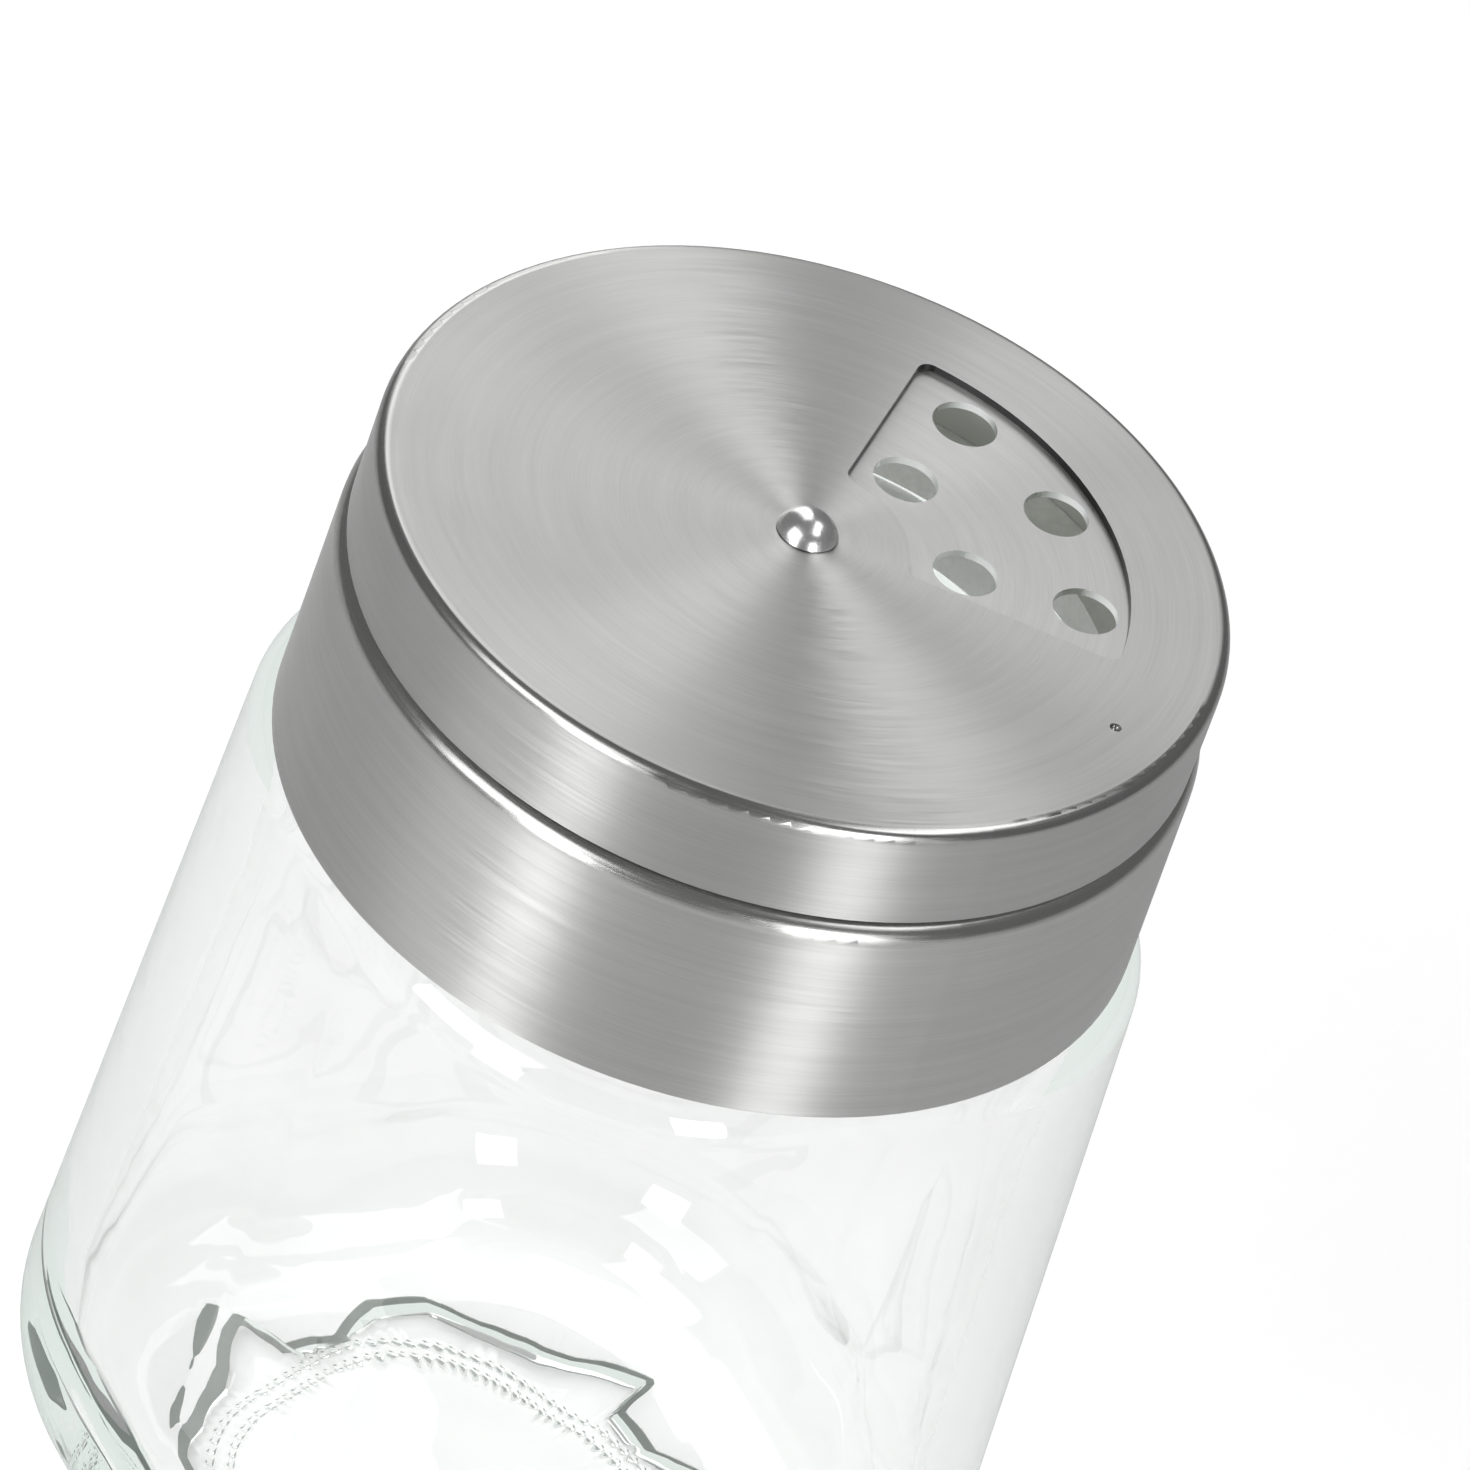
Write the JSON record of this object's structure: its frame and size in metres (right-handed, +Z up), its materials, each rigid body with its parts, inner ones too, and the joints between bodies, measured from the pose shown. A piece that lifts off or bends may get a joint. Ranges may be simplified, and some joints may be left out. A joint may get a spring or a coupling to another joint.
{
  "type": "spice jar",
  "caption": "Squarish clear glass spice jar with a steel screw cap, whose turning dial uncovers sprinkling holes, a pouring opening or a closed stretch of plate.",
  "frame": {"origin": "middle of the foot, on the surface that the jar stands on", "axes": "+Z up the jar's axis towards the dial; X and Y square to the jar's flat sides; the sprinkling holes face +Y"},
  "size_m": [0.0464, 0.0464, 0.0708],
  "materials": {
    "glass": "clear soda-lime glass, faintly green where thick",
    "insert_plastic": "natural white moulded plastic",
    "seal_foam": "soft off-white foam",
    "cap_steel": "stainless sheet, brushed round the axis",
    "dial_steel": "stainless sheet, brushed round the axis",
    "rivet_steel": "polished steel",
    "washer_steel": "plain spring steel"
  },
  "bodies": {
    "jar": {"jar": "glass"},
    "seal": {"rim_seal": "seal_foam"},
    "lid": {"cap_shell": "cap_steel", "screw_insert": "insert_plastic", "pivot_rivet": "rivet_steel", "spring_washer": "washer_steel", "flat_washer": "washer_steel"},
    "dial": {"dial": "dial_steel"}
  },
  "joints": [
    {"name": "lid_lift", "type": "slide", "parent": "jar", "child": "seal", "axis": [0, 0, 1], "range_m": [0, 0.025]},
    {"name": "lid_turn", "type": "hinge", "parent": "seal", "child": "lid", "pos_m": [0, 0, 0.056], "axis": [0, 0, 1], "range_deg": [0, 450]},
    {"name": "dial_turn", "type": "hinge", "parent": "lid", "child": "dial", "pos_m": [0, 0, 0.0694], "axis": [0, 0, 1], "continuous": true}
  ]
}
